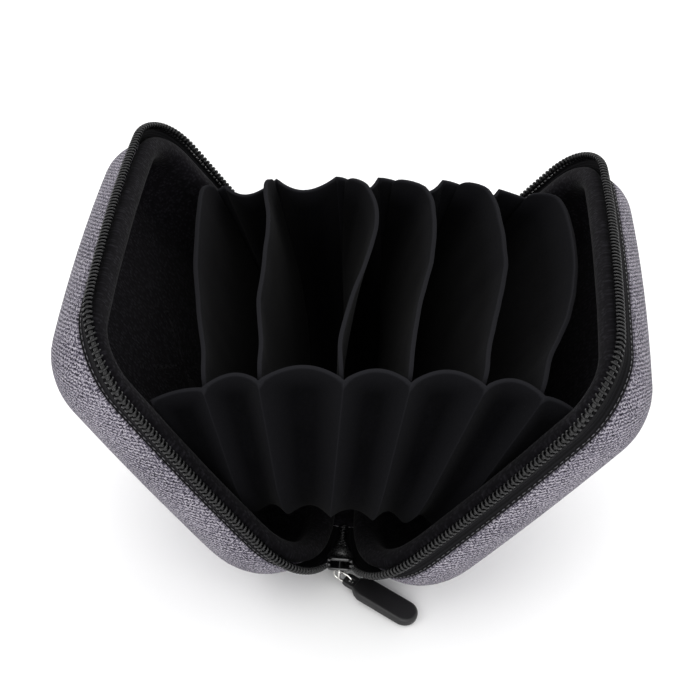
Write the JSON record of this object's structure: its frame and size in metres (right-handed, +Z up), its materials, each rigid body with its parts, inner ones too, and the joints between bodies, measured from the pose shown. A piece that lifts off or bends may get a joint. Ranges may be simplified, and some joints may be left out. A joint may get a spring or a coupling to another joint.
{
  "type": "lens filter case",
  "caption": "Moulded clamshell case in grey melange cloth, standing open on its spine, with a zipper round the rim and a fan of black felt pockets between its halves.",
  "frame": {"origin": "on the surface the case stands on, below the middle of its hinge", "axes": "+Z up; Y along the hinge line with the zipper slider at the -Y end; X across the open halves"},
  "size_m": [0.1652, 0.129, 0.1051],
  "materials": {
    "shell_cloth": "matte melange weave",
    "lining_knit": "matte knit",
    "zipper_tape": "matte woven tape",
    "zipper_coil": "satin nylon",
    "spine_cloth": "matte melange weave",
    "zipper_metal": "plated, polished",
    "pull_rubber": "moulded satin",
    "pocket_felt": "matte felt"
  },
  "bodies": {
    "case": {"shell_left": "shell_cloth", "shell_right": "shell_cloth", "lining_left": "lining_knit", "lining_right": "lining_knit", "tape_left": "zipper_tape", "tape_right": "zipper_tape", "coil_left": "zipper_coil", "coil_right": "zipper_coil", "spine_strip": "spine_cloth", "slider": "zipper_metal", "gusset_near": "pocket_felt", "gusset_far": "pocket_felt", "pocket_floor": "pocket_felt", "divider_1": "pocket_felt", "divider_2": "pocket_felt", "divider_3": "pocket_felt", "divider_4": "pocket_felt", "divider_5": "pocket_felt", "divider_6": "pocket_felt"},
    "pull": {"pull_link": "zipper_metal", "pull_tab": "pull_rubber"}
  },
  "joints": [
    {"name": "pull_swing", "type": "hinge", "parent": "case", "child": "pull", "pos_m": [0, -0.0436, 0.00497], "axis": [-0.4695, -0.8829, 0], "range_deg": [0, 14]}
  ]
}
